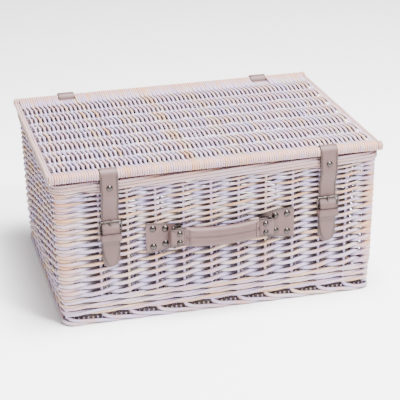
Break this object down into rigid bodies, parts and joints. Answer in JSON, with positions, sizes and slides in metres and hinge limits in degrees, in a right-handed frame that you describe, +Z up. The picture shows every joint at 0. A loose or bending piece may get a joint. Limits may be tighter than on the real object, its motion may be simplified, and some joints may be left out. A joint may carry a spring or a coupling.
{
  "type": "picnic hamper",
  "caption": "Rectangular woven willow picnic hamper with a hinged woven lid, two buckled leather straps and a padded leather handle on the front.",
  "frame": {"origin": "middle of the flat face under the foot border, where the hamper stands", "axes": "+X to the right along the front, -Y out of the front with the straps and handle, +Z up"},
  "size_m": [0.47, 0.3684, 0.2302],
  "materials": {
    "willow_weave": "matt, limed white over peeled willow",
    "willow_sticks": "matt, limed white over peeled willow",
    "willow_rods": "smooth, matt, limed white over peeled willow",
    "strap_leather": "smooth, satin",
    "handle_leather": "smooth, satin",
    "rivet_metal": "polished nickel",
    "washer_metal": "plain steel",
    "buckle_metal": "polished nickel"
  },
  "bodies": {
    "basket": {"base_weave": "willow_weave", "base_sticks": "willow_sticks", "foot_border": "willow_weave", "lower_wale": "willow_weave", "siding": "willow_weave", "side_stakes": "willow_sticks", "corner_posts": "willow_sticks", "rim_border": "willow_rods", "hinge_rivets": "rivet_metal", "tab_rivets": "washer_metal", "handle_plate_rivets": "rivet_metal", "rivet_washers": "washer_metal", "hinge_strap_left": "strap_leather", "hinge_strap_right": "strap_leather", "buckle_tab_left": "strap_leather", "buckle_tab_right": "strap_leather", "keeper_left": "strap_leather", "keeper_right": "strap_leather", "handle_plate_left": "handle_leather", "handle_plate_right": "handle_leather", "handle_tongue_left": "handle_leather", "handle_tongue_right": "handle_leather"},
    "lid": {"lid_weave": "willow_weave", "lid_sticks": "willow_sticks", "lid_front_rod": "willow_rods", "lid_back_rod": "willow_rods", "lid_side_rods": "willow_rods"},
    "handle": {"handle_grip": "handle_leather", "handle_end_left": "handle_leather", "handle_end_right": "handle_leather", "handle_ring_left": "buckle_metal", "handle_ring_right": "buckle_metal", "handle_end_rivets": "rivet_metal"},
    "strap_loop_left": {"strap_loop_left": "strap_leather", "strap_stud_left": "rivet_metal"},
    "strap_tail_left": {"strap_tail_left": "strap_leather"},
    "buckle_frame_left": {"buckle_frame_left": "buckle_metal"},
    "buckle_prong_left": {"buckle_prong_left": "buckle_metal"},
    "strap_loop_right": {"strap_loop_right": "strap_leather", "strap_stud_right": "rivet_metal"},
    "strap_tail_right": {"strap_tail_right": "strap_leather"},
    "buckle_frame_right": {"buckle_frame_right": "buckle_metal"},
    "buckle_prong_right": {"buckle_prong_right": "buckle_metal"}
  },
  "joints": [
    {"name": "lid_hinge", "type": "hinge", "parent": "basket", "child": "lid", "pos_m": [0, 0.1702, 0.221], "axis": [-1, 0, 0], "range_deg": [0, 105]},
    {"name": "strap_hang_left", "type": "hinge", "parent": "lid", "child": "strap_loop_left", "pos_m": [-0.154, -0.1722, 0.221], "axis": [1, 0, 0], "range_deg": [0, 84], "deforming": ["strap_loop_left"]},
    {"name": "strap_lift_left", "type": "hinge", "parent": "strap_loop_left", "child": "strap_tail_left", "pos_m": [-0.154, -0.1803, 0.1966], "axis": [-1, 0, 0], "range_deg": [0, 100], "deforming": ["strap_tail_left"]},
    {"name": "buckle_swing_left", "type": "hinge", "parent": "basket", "child": "buckle_frame_left", "pos_m": [-0.154, -0.1747, 0.1402], "axis": [1, 0, 0], "range_deg": [0, 40]},
    {"name": "prong_swing_left", "type": "hinge", "parent": "buckle_frame_left", "child": "buckle_prong_left", "pos_m": [-0.154, -0.1747, 0.1402], "axis": [1, 0, 0], "range_deg": [0, 35]},
    {"name": "strap_hang_right", "type": "hinge", "parent": "lid", "child": "strap_loop_right", "pos_m": [0.154, -0.1722, 0.221], "axis": [1, 0, 0], "range_deg": [0, 84], "deforming": ["strap_loop_right"]},
    {"name": "strap_lift_right", "type": "hinge", "parent": "strap_loop_right", "child": "strap_tail_right", "pos_m": [0.154, -0.1803, 0.1966], "axis": [-1, 0, 0], "range_deg": [0, 100], "deforming": ["strap_tail_right"]},
    {"name": "buckle_swing_right", "type": "hinge", "parent": "basket", "child": "buckle_frame_right", "pos_m": [0.154, -0.1747, 0.1402], "axis": [1, 0, 0], "range_deg": [0, 40]},
    {"name": "prong_swing_right", "type": "hinge", "parent": "buckle_frame_right", "child": "buckle_prong_right", "pos_m": [0.154, -0.1747, 0.1402], "axis": [1, 0, 0], "range_deg": [0, 35]},
    {"name": "handle_pull", "type": "slide", "parent": "basket", "child": "handle", "axis": [0, -1, 0], "range_m": [0, 0.016], "deforming": ["handle_tongue_left", "handle_tongue_right"]}
  ],
  "couplings": [
    {"joint": "strap_hang_left", "follows": "lid_hinge", "ratio": 0.8},
    {"joint": "strap_hang_right", "follows": "lid_hinge", "ratio": 0.8}
  ]
}
